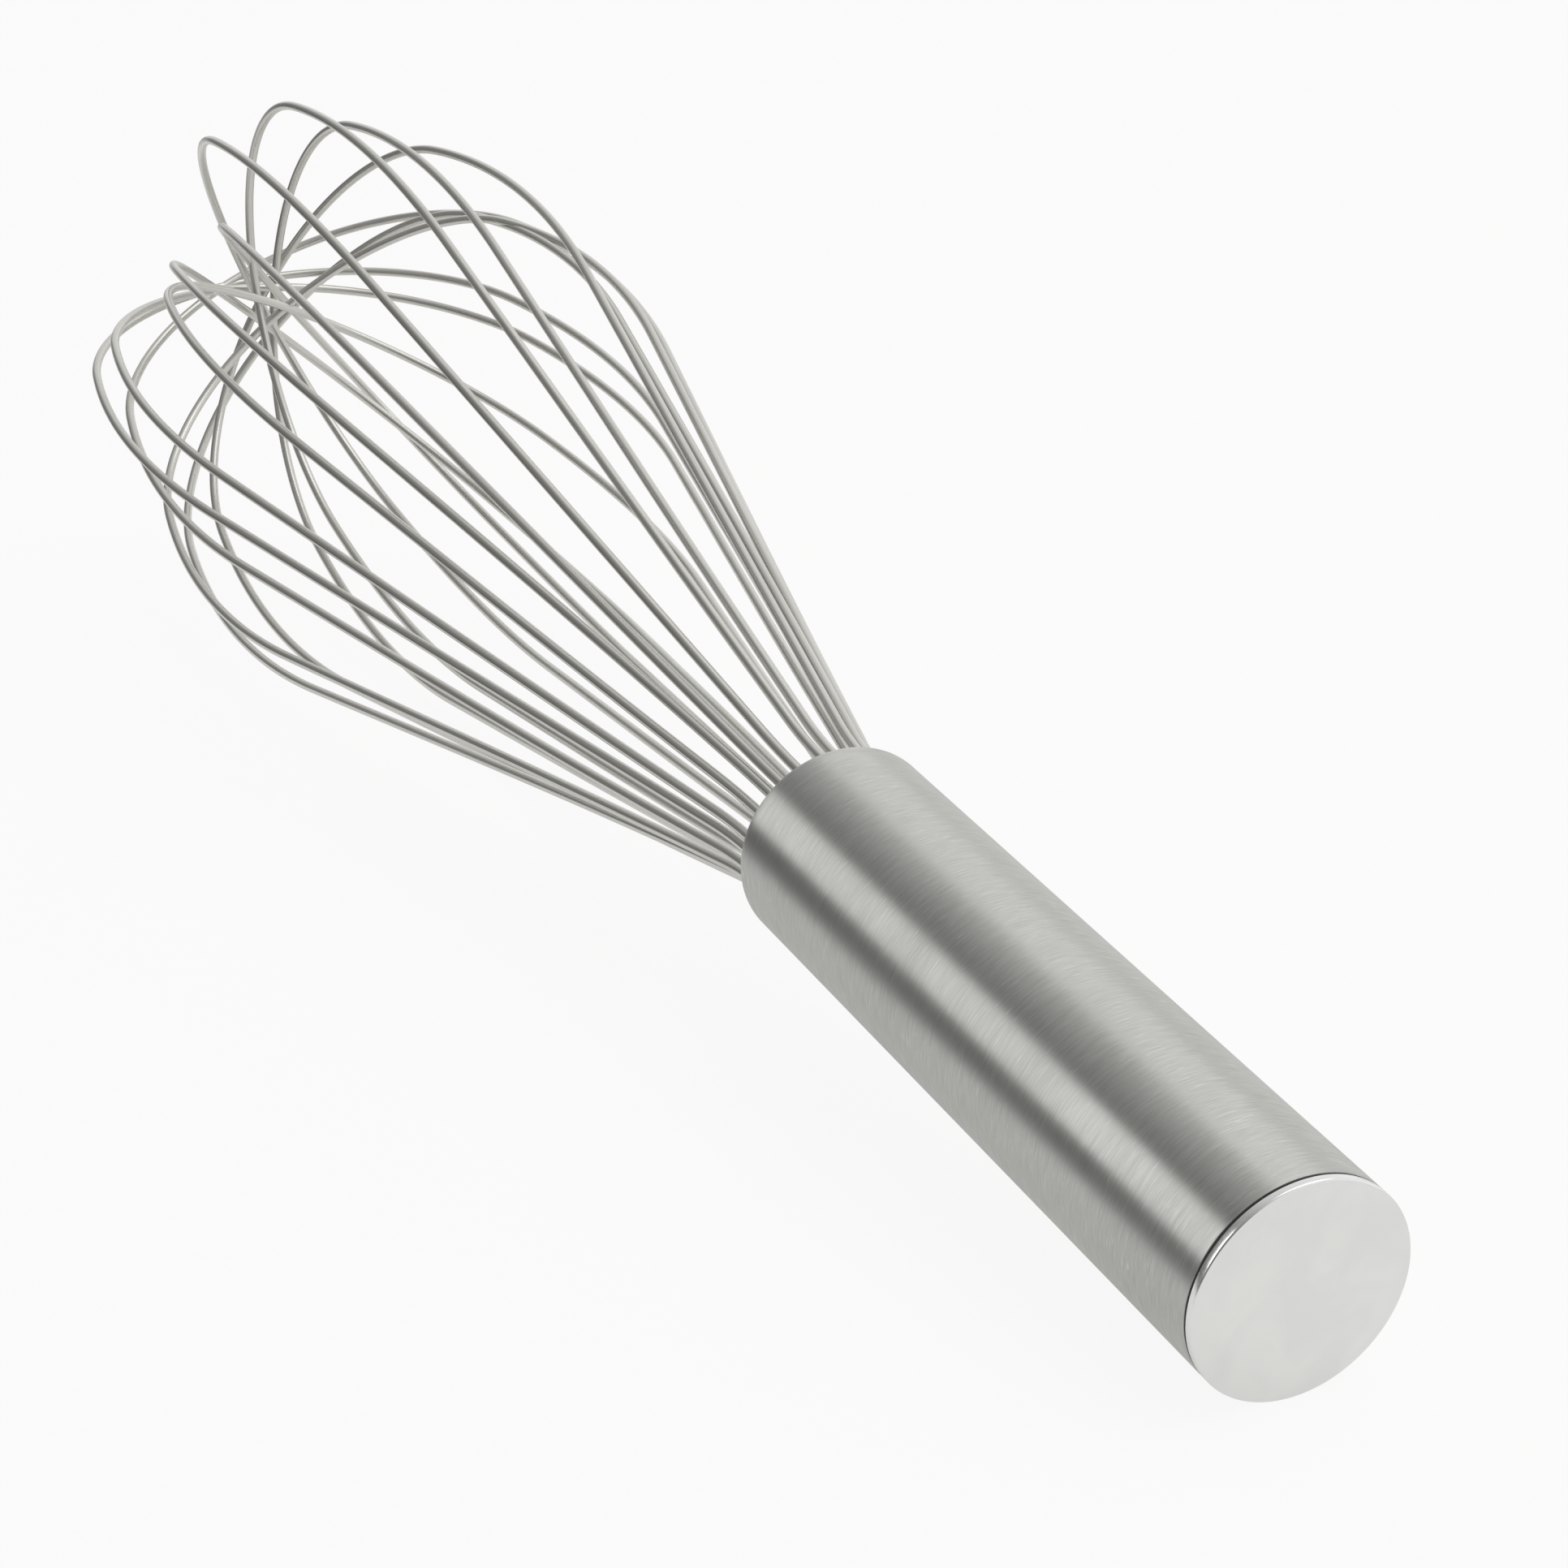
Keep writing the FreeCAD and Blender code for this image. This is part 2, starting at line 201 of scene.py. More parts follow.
@dataclass(frozen=True)
class PolishedCap:
    """Pressed stainless cap, buffed to a soft mirror with faint wiping marks."""

    name: str = "stainless_cap_polished"
    colour: str = "#f3f3f0"
    shade: str = "#efefed"
    roughness: float = 0.2
    smear_mm: float = 8.0
    haze_mm: float = 0.6

    def build(self) -> bpy.types.Material:
        """Build the material from object coordinates."""
        material, tree, shader = new_material(self.name)
        place = add_node(tree, "TexCoord")
        smear = add_node(tree, "TexNoise", {"Scale": 1 / (self.smear_mm * MM), "Detail": 2.0,
                                            "Distortion": 0.6},
                         {"Vector": place.outputs["Object"]})
        haze = add_node(tree, "TexNoise", {"Scale": 1 / (self.haze_mm * MM), "Detail": 4.0},
                        {"Vector": place.outputs["Object"]})
        tone = add_node(tree, "MapRange", {"From Min": 0.4, "From Max": 0.62},
                        {"Value": smear.outputs["Fac"]})
        colour = add_node(tree, "Mix", {"data_type": "RGBA", 6: srgb(self.shade),
                                        7: srgb(self.colour)}, {0: tone.outputs[0]})
        rough = add_node(tree, "MapRange",
                         {"From Min": 0.35, "From Max": 0.65, "To Min": self.roughness - 0.03,
                          "To Max": self.roughness + 0.05}, {"Value": haze.outputs["Fac"]})
        shader.inputs["Metallic"].default_value = 1.0
        tree.links.new(colour.outputs[2], shader.inputs["Base Color"])
        tree.links.new(rough.outputs[0], shader.inputs["Roughness"])
        return material


@dataclass(frozen=True)
class DrawnWire:
    """Spring wire drawn through a die: satin, with faint lines along its length."""

    name: str = "stainless_wire_drawn"
    colour: str = "#e4e3de"
    shade: str = "#d3d2cc"
    roughness: float = 0.29
    line_mm: float = 0.22        # draw lines this far apart round the wire
    patch_mm: float = 14.0       # length of a patch of slightly different polish

    def build(self) -> bpy.types.Material:
        """Build the material from the wire's own round and along coordinates."""
        material, tree, shader = new_material(self.name)
        coords = add_node(tree, "Attribute", {"attribute_name": "wire"})
        lines = add_node(tree, "Mapping", {"Scale": (1 / self.line_mm, 1 / self.line_mm, 0.04)},
                         {"Vector": coords.outputs["Vector"]})
        drawn = add_node(tree, "TexNoise", {"Scale": 1.0, "Detail": 3.0},
                         {"Vector": lines.outputs[0]})
        length = add_node(tree, "Mapping", {"Scale": (0.5, 0.5, 1 / self.patch_mm)},
                          {"Vector": coords.outputs["Vector"]})
        patches = add_node(tree, "TexNoise", {"Scale": 1.0, "Detail": 5.0, "Roughness": 0.62},
                           {"Vector": length.outputs[0]})
        tone = add_node(tree, "MapRange", {"From Min": 0.3, "From Max": 0.7},
                        {"Value": drawn.outputs["Fac"]})
        colour = add_node(tree, "Mix", {"data_type": "RGBA", 6: srgb(self.shade),
                                        7: srgb(self.colour)}, {0: tone.outputs[0]})
        rough = add_node(tree, "MapRange",
                         {"From Min": 0.3, "From Max": 0.7, "To Min": self.roughness - 0.04,
                          "To Max": self.roughness + 0.06}, {"Value": patches.outputs["Fac"]})
        shader.inputs["Metallic"].default_value = 1.0
        tree.links.new(colour.outputs[2], shader.inputs["Base Color"])
        tree.links.new(rough.outputs[0], shader.inputs["Roughness"])
        return material


@dataclass(frozen=True)
class TurnedSleeve:
    """Steel bush left as the lathe turned it, with rings round its axis."""

    name: str = "steel_sleeve_turned"
    colour: str = "#b4b4b0"
    shade: str = "#9c9c98"
    roughness: float = 0.38
    ring_mm: float = 0.4

    def build(self) -> bpy.types.Material:
        """Build the material from object coordinates along the handle."""
        material, tree, shader = new_material(self.name)
        place = add_node(tree, "TexCoord")
        rings = add_node(tree, "Mapping", {"Scale": (1 / (self.ring_mm * MM), 20.0, 20.0)},
                         {"Vector": place.outputs["Object"]})
        noise = add_node(tree, "TexNoise", {"Scale": 1.0, "Detail": 2.0},
                         {"Vector": rings.outputs[0]})
        colour = add_node(tree, "Mix", {"data_type": "RGBA", 6: srgb(self.shade),
                                        7: srgb(self.colour)}, {0: noise.outputs["Fac"]})
        shader.inputs["Metallic"].default_value = 1.0
        shader.inputs["Roughness"].default_value = self.roughness
        tree.links.new(colour.outputs[2], shader.inputs["Base Color"])
        return material


@dataclass(frozen=True)
class CastFiller:
    """Plastic, resin or rubber cast in place: matt, slightly mottled and pitted."""

    name: str
    colour: str
    shade: str
    roughness: float
    grain_mm: float
    pit_mm: float = 0.05
    bump: float = 0.4

    def build(self) -> bpy.types.Material:
        """Build the material from object coordinates."""
        material, tree, shader = new_material(self.name)
        place = add_node(tree, "TexCoord")
        mottle = add_node(tree, "TexNoise", {"Scale": 1 / (6 * self.grain_mm * MM), "Detail": 4.0},
                          {"Vector": place.outputs["Object"]})
        grain = add_node(tree, "TexNoise", {"Scale": 1 / (self.grain_mm * MM), "Detail": 3.0},
                         {"Vector": place.outputs["Object"]})
        tone = add_node(tree, "MapRange", {"From Min": 0.35, "From Max": 0.65},
                        {"Value": mottle.outputs["Fac"]})
        colour = add_node(tree, "Mix", {"data_type": "RGBA", 6: srgb(self.shade),
                                        7: srgb(self.colour)}, {0: tone.outputs[0]})
        rough = add_node(tree, "MapRange",
                         {"From Min": 0.3, "From Max": 0.7, "To Min": self.roughness - 0.06,
                          "To Max": self.roughness + 0.06}, {"Value": grain.outputs["Fac"]})
        bump = add_node(tree, "Bump", {"Strength": self.bump, "Distance": self.pit_mm * MM},
                        {"Height": grain.outputs["Fac"]})
        tree.links.new(colour.outputs[2], shader.inputs["Base Color"])
        tree.links.new(rough.outputs[0], shader.inputs["Roughness"])
        tree.links.new(bump.outputs[0], shader.inputs["Normal"])
        return material


POTTING = CastFiller("plug_moulded", "#c4c3bb", "#b3b2a9", 0.5, 0.4)
MOUTH_RESIN = CastFiller("resin_grey_cast", "#6b6b68", "#5a5a57", 0.42, 0.3)
SEALANT = CastFiller("sealant_black", "#1d1d1c", "#131312", 0.55, 0.15, 0.02)


def new_material(name: str) -> tuple[bpy.types.Material, bpy.types.NodeTree, bpy.types.Node]:
    """Start a node material.

    Args:
        name: Name of the material.

    Returns:
        The material, its tree and its Principled shader.
    """
    material = bpy.data.materials.new(name)
    material.use_nodes = True
    shader = material.node_tree.nodes["Principled BSDF"]
    return material, material.node_tree, shader


# --------------------------------------------------------------------------- modelling helpers


def deselect_all() -> None:
    """Leave nothing selected, because an operator acts on all that is."""
    if bpy.context.mode != "OBJECT":
        bpy.ops.object.mode_set(mode="OBJECT")
    bpy.ops.object.select_all(action="DESELECT")


def add_ring(name: str, radius: float, centre: Vector, sides: int,
             heading: tuple[float, float, float] = (0.0, 0.0, 0.0)) -> bpy.types.Object:
    """Add a ring of vertices and stay in edit mode with the ring selected.

    Args:
        name: Name of the new piece.
        radius: Radius of the ring in mm.
        centre: Centre of the ring in mm.
        sides: Number of vertices.
        heading: Euler angles that turn the ring from its place square to Z.

    Returns:
        The new piece, in edit mode.
    """
    deselect_all()
    bpy.ops.mesh.primitive_circle_add(vertices=sides, radius=radius * MM, location=centre * MM,
                                      rotation=heading)
    piece = bpy.context.object
    piece.name = name
    piece.data.name = name
    bpy.ops.object.transform_apply(location=True, rotation=True, scale=True)
    bpy.ops.object.mode_set(mode="EDIT")
    bpy.ops.mesh.select_all(action="SELECT")
    return piece


def select_verts(piece: bpy.types.Object, wanted: Iterable[int]) -> None:
    """Select only these vertices, and the edges and faces between them, in edit mode.

    Args:
        piece: Piece in edit mode.
        wanted: Indices of the vertices.
    """
    bpy.ops.mesh.select_all(action="DESELECT")
    mesh = bmesh.from_edit_mesh(piece.data)
    mesh.verts.ensure_lookup_table()
    for index in wanted:
        mesh.verts[index].select_set(True)
    mesh.select_flush(True)
    bmesh.update_edit_mesh(piece.data)


def verts_on_circle(piece: bpy.types.Object, radius: float, height: float) -> list[int]:
    """Find the vertices that lie on a circle about Z.

    Args:
        piece: Piece in edit mode.
        radius: Radius of the circle in mm.
        height: Height of the circle in mm.

    Returns:
        Their indices.
    """
    mesh = bmesh.from_edit_mesh(piece.data)
    near = 0.01 * MM
    return [v.index for v in mesh.verts
            if abs(v.co.z - height * MM) < near
            and abs(math.hypot(v.co.x, v.co.y) - radius * MM) < near]


def finish_mesh(piece: bpy.types.Object, smooth_deg: float, weighted: bool = True) -> None:
    """Merge doubles, point the faces outwards and shade the mesh, then leave edit mode.

    Args:
        piece: Piece in edit mode.
        smooth_deg: Edges that turn by less than this are shaded smooth.
        weighted: Whether large faces keep their own normals beside small bevels.
    """
    bpy.ops.mesh.select_all(action="SELECT")
    bpy.ops.mesh.remove_doubles(threshold=DOUBLE)
    bpy.ops.mesh.normals_make_consistent(inside=False)
    bpy.ops.object.mode_set(mode="OBJECT")
    bpy.ops.object.shade_smooth_by_angle(angle=math.radians(smooth_deg))
    if weighted:
        normals = piece.modifiers.new("face_weight", "WEIGHTED_NORMAL")
        normals.keep_sharp = True
        bpy.ops.object.modifier_apply(modifier=normals.name)


def lay_down(piece: bpy.types.Object, lay: Matrix) -> None:
    """Put a piece modelled about Z where it lies, with its place in its mesh.

    Args:
        piece: Piece modelled about its own Z axis.
        lay: Matrix from that place to the place on the table.
    """
    deselect_all()
    piece.select_set(True)
    bpy.context.view_layer.objects.active = piece
    piece.matrix_world = lay
    bpy.ops.object.transform_apply(location=True, rotation=True, scale=True)


def dress(piece: bpy.types.Object, material: bpy.types.Material) -> None:
    """Make this the piece's only material.

    Args:
        piece: New piece or node of the CAD model.
        material: Material for all of it.
    """
    for index in range(len(piece.material_slots)):
        piece.material_slots[index].material = material
    if not piece.material_slots:
        piece.data.materials.append(material)


def hand_over(piece: bpy.types.Object, node: str,
              material: bpy.types.Material) -> None:
    """Dress a new piece and let it stand for its CAD node.

    Args:
        piece: New piece, laid down.
        node: CAD node that it replaces.
        material: Its material.
    """
    dress(piece, material)
    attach(piece, "root")
    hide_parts(node)
    log.info("%s: %d vertices", piece.name, len(piece.data.vertices))


# --------------------------------------------------------------------------- handle


@dataclass(frozen=True)
class Corner:
    """A corner of a turned outline.

    Attributes:
        radius: Distance from the axis in mm.
        height: Height above the face of the end cap in mm.
        bevel: Size of the rounding in mm, or zero.
        segments: Faces in the rounding.
    """

    radius: float
    height: float
    bevel: float = 0.0
    segments: int = 1


def turn_outline(name: str, corners: Sequence[Corner], sides: int, is_ring: bool,
                 smooth_deg: float = 40.0) -> bpy.types.Object:
    """Model a turned piece as rings extruded one from the next.

    Args:
        name: Name of the new piece.
        corners: Outline, walked in one direction.
        sides: Vertices in each ring.
        is_ring: Whether the outline closes on itself; otherwise both its ends are filled.
        smooth_deg: Edges that turn by less than this are shaded smooth.

    Returns:
        The piece, about its own Z axis.
    """
    first = corners[0]
    piece = add_ring(name, first.radius, Vector((0, 0, first.height)), sides)
    last = first
    for corner in [*corners[1:], *([first] if is_ring else [])]:
        bpy.ops.mesh.extrude_region()
        grow = corner.radius / last.radius
        bpy.ops.transform.resize(value=(grow, grow, 1), center_override=(0, 0, 0))
        bpy.ops.transform.translate(value=(0, 0, (corner.height - last.height) * MM))
        last = corner
    if not is_ring:
        for end in (corners[0], corners[-1]):
            select_verts(piece, verts_on_circle(piece, end.radius, end.height))
            bpy.ops.mesh.edge_face_add()
    bpy.ops.mesh.select_all(action="SELECT")
    bpy.ops.mesh.remove_doubles(threshold=DOUBLE)
    for corner in corners:
        if corner.bevel:
            select_verts(piece, verts_on_circle(piece, corner.radius, corner.height))
            bpy.ops.mesh.bevel(offset=corner.bevel * MM, segments=corner.segments,
                               affect="EDGES")
    finish_mesh(piece, smooth_deg)
    return piece


@dataclass
class Handle:
    """Brushed steel tube, with a pressed cap let into its back end.

    Lengths are in mm and heights run from the flat face of the cap.
    """

    lay: Matrix
    sides: int = 192
    radius: float = 15.0
    wall: float = 0.8
    length: float = 120.0
    shoulder: float = 2.2
    mouth_radius: float = 12.65
    lip_break: float = 0.16
    tube_back: float = 2.4
    tube_edge_break: float = 0.1
    cap_flat_radius: float = 11.3
    cap_drop: float = 0.9
    cap_blend: float = 0.72
    cap_rim: float = 0.24
    cap_flange: float = 2.0
    cap_face_wall: float = 1.4
    cap_skirt: float = 8.5
    cap_skirt_wall: float = 1.0
    skirt_break: float = 0.3
    fit: float = 0.05
    face_band: float = 2.5       # flat ring round the cap's face, before its blend
    pole_radius: float = 0.8     # small disc that closes each face of the cap
    back_band: float = 1.0       # narrow rings that hold the tube's ends straight
    front_band: float = 0.6
    bead_width: float = 0.6
    bead_height: float = 0.3
    bead_break: float = 0.08
    pieces: list[bpy.types.Object] = field(default_factory=list)

    @property
    def bore(self) -> float:
        """Inner radius of the tube."""
        return self.radius - self.wall

    @property
    def seat(self) -> float:
        """Radius of what fits inside the tube."""
        return self.bore - self.fit

    def build(self) -> None:
        """Model the tube, the cap and the bead, lay them down and dress them."""
        self.pieces = [self.make_tube(), self.make_cap(), self.make_bead()]
        finishes = (("handle_shell", "handle_steel", BrushedTube().build()),
                    ("end_cap", "cap_steel", PolishedCap().build()),
                    ("cap_seal", "sealant", SEALANT.build()))
        for piece, (node, slot, material) in zip(self.pieces, finishes):
            self.note_lathe_coordinates(piece)
            lay_down(piece, self.lay)
            hand_over(piece, node, material)

    def make_tube(self) -> bpy.types.Object:
        """Turn the tube, with its front rolled in to a round mouth."""
        lip = self.length - self.wall
        return turn_outline("handle_tube", [
            Corner(self.bore, self.tube_back, self.tube_edge_break, 2),
            Corner(self.radius, self.tube_back, self.tube_edge_break, 3),
            Corner(self.radius, self.tube_back + self.back_band),
            Corner(self.radius, self.length / 2),
            Corner(self.radius, self.length - self.shoulder - self.front_band),
            Corner(self.radius, self.length, self.shoulder, 14),
            Corner(self.mouth_radius, self.length, self.lip_break, 3),
            Corner(self.mouth_radius, lip, self.lip_break, 3),
            Corner(self.bore, lip)], self.sides, is_ring=True)

    def make_cap(self) -> bpy.types.Object:
        """Turn the cap, with a softly blended face, a round rim and a skirt."""
        inner = self.seat - self.cap_skirt_wall
        return turn_outline("cap_pressed", [
            Corner(self.pole_radius, 0.0),
            Corner(self.cap_flat_radius - self.face_band, 0.0),
            Corner(self.cap_flat_radius, 0.0, self.cap_blend, 10),
            Corner(self.radius, self.cap_drop, self.cap_rim, 8),
            Corner(self.radius, self.cap_flange, self.tube_edge_break, 3),
            Corner(self.seat, self.cap_flange),
            Corner(self.seat, self.cap_skirt, self.skirt_break, 2),
            Corner(inner, self.cap_skirt, self.skirt_break, 2),
            Corner(inner, self.cap_face_wall),
            Corner(self.pole_radius, self.cap_face_wall)], self.sides, is_ring=False)

    def make_bead(self) -> bpy.types.Object:
        """Turn the bead of sealant in the joint."""
        back = self.cap_flange + self.fit
        front = back + self.bead_height
        outer = self.radius - self.fit
        inner = outer - self.bead_width
        return turn_outline("joint_bead", [
            Corner(inner, back),
            Corner(outer, back, self.bead_break, 2),
            Corner(outer, front, self.bead_break, 2),
            Corner(inner, front)], self.sides, is_ring=True)

    @staticmethod
    def note_lathe_coordinates(piece: bpy.types.Object) -> None:
        """Keep each vertex's place about the lathe's axis in mm, and a UV map along it.

        Args:
            piece: Piece about its own Z axis, before it is laid down.
        """
        mesh = piece.data
        places = mesh.attributes.new("lathe", "FLOAT_VECTOR", "POINT")
        for vertex in mesh.vertices:
            places.data[vertex.index].vector = vertex.co / MM
        wrap = mesh.uv_layers.new(name="along_tube")
        for face in mesh.polygons:
            middle = math.atan2(face.center.y, face.center.x)
            for loop in face.loop_indices:
                spot = mesh.vertices[mesh.loops[loop].vertex_index].co
                turn = math.atan2(spot.y, spot.x)
                turn += math.tau * round((middle - turn) / math.tau)
                wrap.data[loop].uv = (spot.z / MM / 100, turn / math.tau)


# --------------------------------------------------------------------------- balloon of wires


@dataclass(frozen=True)
class Run:
    """Straight stretch of wire.

    Attributes:
        across: Distance along the radius in mm.
        up: Distance along the axis in mm.
        steps: Rings of vertices.
    """

    across: float
    up: float
    steps: int

    @property
    def length(self) -> float:
        """Length of the run in mm."""
        return math.hypot(self.across, self.up)


@dataclass(frozen=True)
class Bend:
    """Arc of wire.

    Attributes:
        across: Place of its centre along the radius in mm.
        up: Place of its centre along the axis in mm.
        radius: Radius in mm.
        sweep: Angle in radians, from the radius towards the axis.
        steps: Rings of vertices.
    """

    across: float
    up: float
    radius: float
    sweep: float
    steps: int

    @property
    def length(self) -> float:
        """Length of the arc in mm."""
        return abs(self.sweep) * self.radius


@dataclass(frozen=True)
class LoopShape:
    """Route of one loop of wire in its own plane, in mm.

    Attributes:
        order: Place of the loop, from zero for the innermost.
    """

    order: int
    leg_radius: float = 11.6
    hook_end: float = 6.9
    hook_radius: float = 2.2
    hook_height: float = 86.7
    hook_stagger: float = 1.8
    flare_height: float = 120.5
    flare_radius: float = 55.0
    belly_half: float = 43.5
    belly_height: float = 275.0
    belly_radius: float = 145.0
    tip_height: float = 340.0
    tip_pitch: float = 1.65
    hook_steps: int = 8
    leg_steps: int = 8
    flare_steps: int = 14
    straight_steps: int = 14
    belly_steps: int = 56
    dome_steps: int = 72

    @property
    def tip(self) -> float:
        """Height of the loop's tip."""
        return self.tip_height + self.tip_pitch * self.order

    def start(self) -> tuple[float, float]:
        """Place of the wire's end in the core: across and up."""
        return self.hook_end, self.hook_height - self.hook_stagger * (self.order % 2)

    def route(self) -> list[Run | Bend]:
        """Walk the wire from one end in the core, over the tip, to the other end.

        Returns:
            Its runs and bends in order.
        """
        end, hook_up = self.start()
        belly_up = self.belly_height + self.tip_pitch * self.order
        tip = self.tip
        belly_across = self.belly_half - self.belly_radius
        bow = self.belly_radius
        drop = tip - belly_up
        dome = (bow ** 2 - belly_across ** 2 - drop ** 2) / (2 * (bow - drop))
        join = math.atan2(tip - dome - belly_up, -belly_across)
        across = belly_across - self.leg_radius - self.flare_radius
        up = belly_up - self.flare_height
        slope = (math.atan2(across, up)
                 + math.asin((self.flare_radius + bow) / math.hypot(across, up)))
        flare_out = (self.leg_radius + self.flare_radius * (1 - math.cos(slope)),
                     self.flare_height + self.flare_radius * math.sin(slope))
        belly_in = (belly_across + bow * math.cos(slope), belly_up - bow * math.sin(slope))
        straight = (belly_in[0] - flare_out[0], belly_in[1] - flare_out[1])
        leg_back = hook_up + self.hook_radius
        hook_across = self.leg_radius - self.hook_radius
        quarter = math.pi / 2
        flare_across = self.leg_radius + self.flare_radius
        return [
            Run(hook_across - end, 0.0, 1),
            Bend(hook_across, leg_back, self.hook_radius, quarter, self.hook_steps),
            Run(0.0, self.flare_height - leg_back, self.leg_steps),
            Bend(flare_across, self.flare_height, self.flare_radius, -slope, self.flare_steps),
            Run(*straight, self.straight_steps),
            Bend(belly_across, belly_up, bow, slope + join, self.belly_steps),
            Bend(0.0, tip - dome, dome, math.pi - 2 * join, self.dome_steps),
            Bend(-belly_across, belly_up, bow, slope + join, self.belly_steps),
            Run(straight[0], -straight[1], self.straight_steps),
            Bend(-flare_across, self.flare_height, self.flare_radius, -slope, self.flare_steps),
            Run(0.0, leg_back - self.flare_height, self.leg_steps),
            Bend(-hook_across, leg_back, self.hook_radius, quarter, self.hook_steps),
            Run(hook_across - end, 0.0, 1)]


@dataclass(frozen=True)
class LoopSet:
    """How a loop is set in the handle, and how use has pushed its tip aside.

    Attributes:
        turn: Turn of its plane about the axis in degrees, from straight down.
        across: Push of the tip in the loop's plane in mm.
        sideways: Push of the tip out of that plane in mm.
        up: Push of the tip along the axis in mm.
    """

    turn: float
    across: float
    sideways: float
    up: float


@dataclass
class Balloon:
    """Twelve loops of spring wire, nested inside each other and fanned round the axis."""

    lay: Matrix
    sets: tuple[LoopSet, ...] = (
        LoopSet(-64, 2.5, -1.5, 0.0), LoopSet(-49, 3.0, 4.0, 3.0), LoopSet(-39, 6.5, -1.5, 3.5),
        LoopSet(-24, -10.5, 3.0, 0.5), LoopSet(-5, -12.0, 5.5, -5.0), LoopSet(5, -3.5, -0.5, 2.0),
        LoopSet(31, -2.0, 1.5, 1.0), LoopSet(43, 4.5, -6.5, 2.5), LoopSet(53, 1.0, 2.0, -13.0),
        LoopSet(69, -3.5, 4.0, 2.0), LoopSet(86, 2.0, 2.0, -0.5), LoopSet(96, 1.0, 3.0, -10.0))
    stiff_height: float = 125.0     # a push doesn't reach the wires below this
    wire_radius: float = 0.75
    sides: int = 20
    pieces: list[bpy.types.Object] = field(default_factory=list)

    def build(self) -> None:
        """Model, place and dress each loop, from the innermost outwards."""
        finish = DrawnWire().build()
        for order, pushed in enumerate(self.sets):
            piece = self.make_loop(f"wire_{order + 1:02d}", LoopShape(order), pushed)
            lay_down(piece, self.lay @ Matrix.Rotation(math.radians(pushed.turn), 4, "Z"))
            hand_over(piece, f"wire_loop_{order + 1:02d}", finish)
            self.pieces.append(piece)

    def make_loop(self, name: str, shape: LoopShape, pushed: LoopSet) -> bpy.types.Object:
        """Extrude and spin one ring of vertices along a loop's route, then push its tip.

        Args:
            name: Name of the new piece.
            shape: Route of the loop.
            pushed: Push that its tip has had.

        Returns:
            The loop, standing in the plane across Y.
        """
        across, up = shape.start()
        piece = add_ring(name, self.wire_radius, Vector((across, 0, up)), self.sides,
                         heading=(0, math.pi / 2, 0))
        along = [0.0]
        for part in shape.route():
            if isinstance(part, Run):
                for _ in range(part.steps):
                    bpy.ops.mesh.extrude_region()
                    bpy.ops.transform.translate(
                        value=(part.across / part.steps * MM, 0, part.up / part.steps * MM))
            else:
                bpy.ops.mesh.spin(steps=part.steps, angle=part.sweep, axis=(0, 1, 0),
                                  center=(part.across * MM, 0, part.up * MM))
            along += [along[-1] + part.length / part.steps * (step + 1)
                      for step in range(part.steps)]
        count = len(along) * self.sides
        for end in (range(self.sides), range(count - self.sides, count)):
            select_verts(piece, end)
            bpy.ops.mesh.edge_face_add()
        tip = len(along) // 2 * self.sides
        select_verts(piece, range(tip, tip + self.sides))
        bpy.ops.transform.translate(
            value=(pushed.across * MM, pushed.sideways * MM, pushed.up * MM),
            use_proportional_edit=True, proportional_edit_falloff="SMOOTH",
            proportional_size=(shape.tip - self.stiff_height) * MM)
        self.note_wire_coordinates(piece, along)
        bpy.ops.object.mode_set(mode="EDIT")
        finish_mesh(piece, 60.0, weighted=False)
        return piece

    def note_wire_coordinates(self, piece: bpy.types.Object, along: Sequence[float]) -> None:
        """Keep each vertex's place round and along the wire in mm.

        Args:
            piece: Loop whose rings follow each other in order.
            along: Distance of each ring from the wire's end.
        """
        bpy.ops.object.mode_set(mode="OBJECT")
        mesh = piece.data
        places = mesh.attributes.new("wire", "FLOAT_VECTOR", "POINT")
        for vertex in mesh.vertices:
            ring, side = divmod(vertex.index, self.sides)
            angle = math.tau * side / self.sides
            places.data[vertex.index].vector = (self.wire_radius * math.cos(angle),
                                                self.wire_radius * math.sin(angle),
                                                along[ring])


# --------------------------------------------------------------------------- inside the handle


class Filling(Enum):
    """Nodes of the CAD model that keep their shape, with the finish of each."""

    CORE = ("wire_core", POTTING)
    SLEEVE = ("bundle_sleeve", TurnedSleeve())
    MOUTH = ("mouth_seal", MOUTH_RESIN)

    def dress(self) -> None:
        """Give the node its finish."""
        node, finish = self.value
        dress(frame["nodes"][node], finish.build())
        log.info("%s: kept, finished as %s", node, finish.name)


# --------------------------------------------------------------------------- studio


@dataclass(frozen=True)
class Lamp:
    """Rectangular lamp that points at the whisk.

    Attributes:
        name: Name of the lamp.
        place: Where it stands, in metres.
        size: Width and height in metres.
        watts: Its power.
    """

    name: str
    place: tuple[float, float, float]
    size: tuple[float, float]
    watts: float

    def hang(self) -> bpy.types.Object:
        """Add the lamp to the scene.

        Returns:
            The lamp.
        """
        deselect_all()
        bpy.ops.object.light_add(type="AREA", location=self.place)
        lamp = bpy.context.object
        lamp.name = self.name
        lamp.data.shape = "RECTANGLE"
        lamp.data.size, lamp.data.size_y = self.size
        lamp.data.energy = self.watts
        lamp.rotation_euler = (-Vector(self.place)).to_track_quat("-Z", "Y").to_euler()
        return lamp


